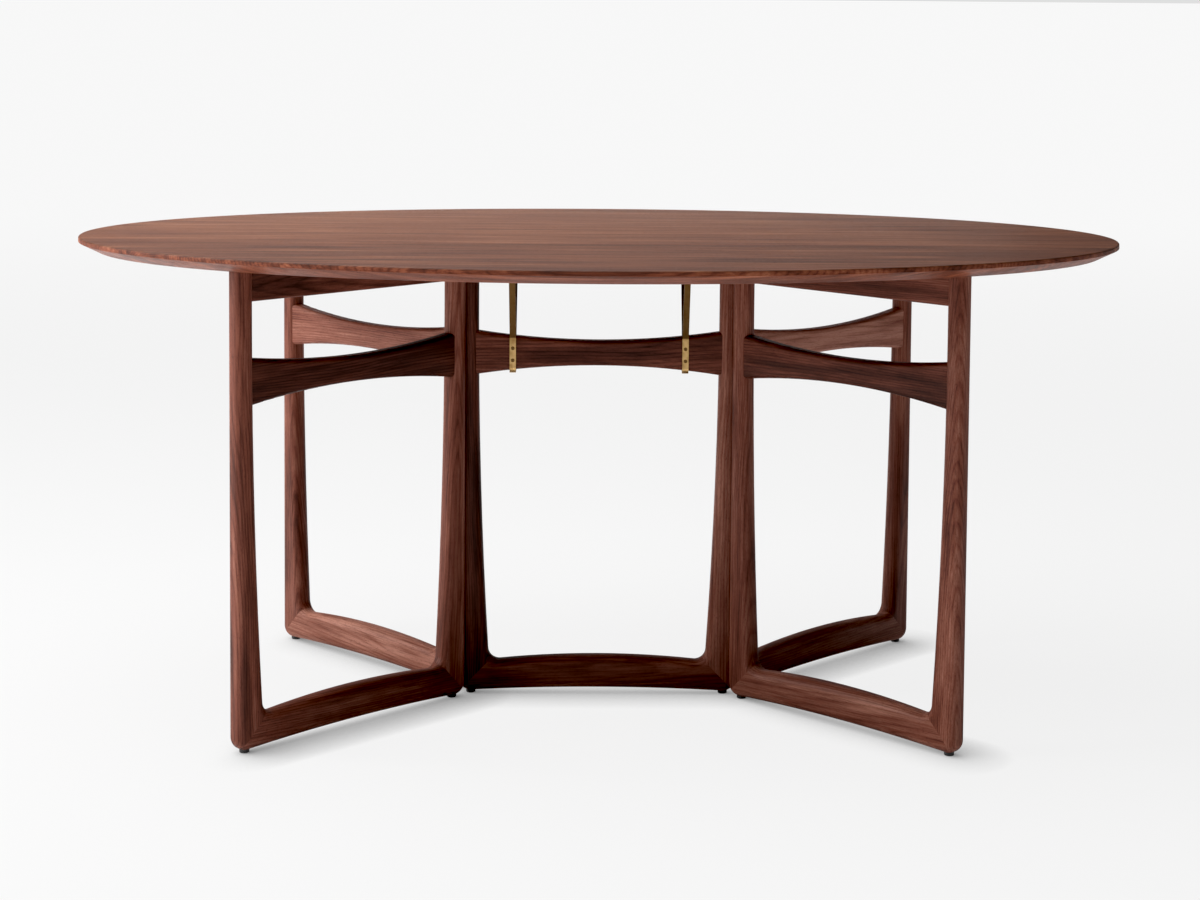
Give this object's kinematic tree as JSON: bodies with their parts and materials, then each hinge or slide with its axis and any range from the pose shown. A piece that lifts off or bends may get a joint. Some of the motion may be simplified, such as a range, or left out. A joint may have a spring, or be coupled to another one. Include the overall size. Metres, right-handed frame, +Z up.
{
  "type": "drop-leaf dining table",
  "caption": "Oval drop-leaf dining table on a centre frame and swinging gate frames with mitred feet, bowed rails and brass stays.",
  "frame": {"origin": "on the floor under the middle of the top", "axes": "+X along the long axis of the oval and the grain, +Y to the back leaf, +Z up"},
  "size_m": [1.646, 0.9678, 0.74],
  "materials": {
    "walnut": "oiled, satin",
    "brass": "brushed",
    "glides": "matte black"
  },
  "bodies": {
    "base": {"back_leaf": "walnut", "back_leaf_hinge_board_plates": "brass", "back_leaf_hinge_leaf_plates": "brass", "back_leaf_hinge_pins": "brass", "back_leaf_hinge_screws": "brass", "centre_board": "walnut", "centre_bottom_rail": "walnut", "centre_glides": "glides", "centre_left_post": "walnut", "centre_mid_rail": "walnut", "centre_right_post": "walnut", "centre_top_rail": "walnut", "front_leaf": "walnut", "front_leaf_hinge_board_plates": "brass", "front_leaf_hinge_leaf_plates": "brass", "front_leaf_hinge_pins": "brass", "front_leaf_hinge_screws": "brass", "left_hinge_centre_leaves": "brass", "left_hinge_pins": "brass", "left_stay": "brass", "right_hinge_centre_leaves": "brass", "right_hinge_pins": "brass", "right_stay": "brass", "stay_screws": "brass"},
    "front_left_gate": {"front_left_gate_bottom_rail": "walnut", "front_left_gate_glides": "glides", "front_left_gate_hinge_leaves": "brass", "front_left_gate_hinge_screws": "brass", "front_left_gate_inner_post": "walnut", "front_left_gate_mid_rail": "walnut", "front_left_gate_outer_post": "walnut", "front_left_gate_top_rail": "walnut"},
    "front_right_gate": {"front_right_gate_bottom_rail": "walnut", "front_right_gate_glides": "glides", "front_right_gate_hinge_leaves": "brass", "front_right_gate_hinge_screws": "brass", "front_right_gate_inner_post": "walnut", "front_right_gate_mid_rail": "walnut", "front_right_gate_outer_post": "walnut", "front_right_gate_top_rail": "walnut"},
    "back_left_gate": {"back_left_gate_bottom_rail": "walnut", "back_left_gate_glides": "glides", "back_left_gate_hinge_leaves": "brass", "back_left_gate_hinge_screws": "brass", "back_left_gate_inner_post": "walnut", "back_left_gate_mid_rail": "walnut", "back_left_gate_outer_post": "walnut", "back_left_gate_top_rail": "walnut"},
    "back_right_gate": {"back_right_gate_bottom_rail": "walnut", "back_right_gate_glides": "glides", "back_right_gate_hinge_leaves": "brass", "back_right_gate_hinge_screws": "brass", "back_right_gate_inner_post": "walnut", "back_right_gate_mid_rail": "walnut", "back_right_gate_outer_post": "walnut", "back_right_gate_top_rail": "walnut"}
  },
  "joints": [
    {"name": "front_left_swing", "type": "hinge", "parent": "base", "child": "front_left_gate", "pos_m": [-0.2273, 0, 0.38], "axis": [0, 0, -1], "range_deg": [0, 44.3]},
    {"name": "front_right_swing", "type": "hinge", "parent": "base", "child": "front_right_gate", "pos_m": [0.2273, 0, 0.38], "axis": [0, 0, 1], "range_deg": [0, 44.3]},
    {"name": "back_left_swing", "type": "hinge", "parent": "base", "child": "back_left_gate", "pos_m": [-0.2273, 0, 0.38], "axis": [0, 0, 1], "range_deg": [0, 44.3]},
    {"name": "back_right_swing", "type": "hinge", "parent": "base", "child": "back_right_gate", "pos_m": [0.2273, 0, 0.38], "axis": [0, 0, -1], "range_deg": [0, 44.3]}
  ]
}
